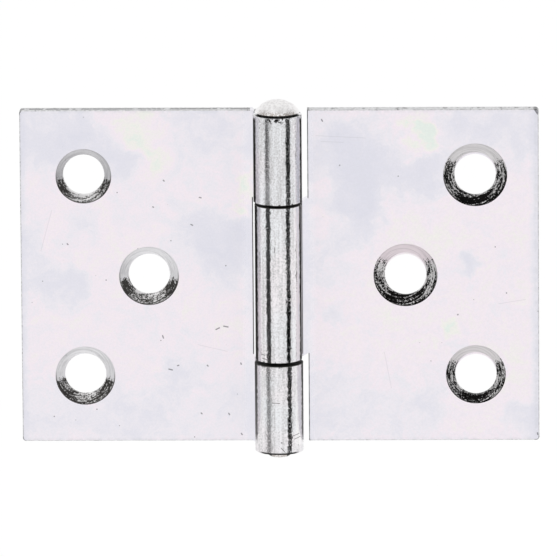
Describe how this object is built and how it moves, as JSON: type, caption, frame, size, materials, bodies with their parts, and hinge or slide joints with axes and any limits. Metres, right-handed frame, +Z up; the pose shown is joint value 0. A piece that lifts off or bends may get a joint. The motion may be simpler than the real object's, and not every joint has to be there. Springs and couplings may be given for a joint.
{
  "type": "broad butt hinge",
  "caption": "Broad butt hinge of bright zinc-plated sheet steel, opened flat, with leaves rolled round a riveted pin and countersunk screw holes, for hanging small doors and lids.",
  "frame": {"origin": "on the pin's axis, at half the height of the leaves", "axes": "+Z up the pin towards its domed head, +X towards the leaf with the centre knuckle, +Y into the wood behind the leaves, so the countersunk side faces -Y"},
  "size_m": [0.06, 0.0056, 0.0422],
  "materials": {
    "zinc_leaf": "bright zinc plating, lightly passivated",
    "zinc_pin": "satin zinc plating"
  },
  "bodies": {
    "frame_side": {"outer_knuckle_leaf": "zinc_leaf", "hinge_pin": "zinc_pin"},
    "door_side": {"centre_knuckle_leaf": "zinc_leaf"}
  },
  "joints": [
    {"name": "leaf_hinge", "type": "hinge", "parent": "frame_side", "child": "door_side", "pos_m": [0, 0, 0], "axis": [0, 0, -1], "range_deg": [-90, 180]}
  ]
}
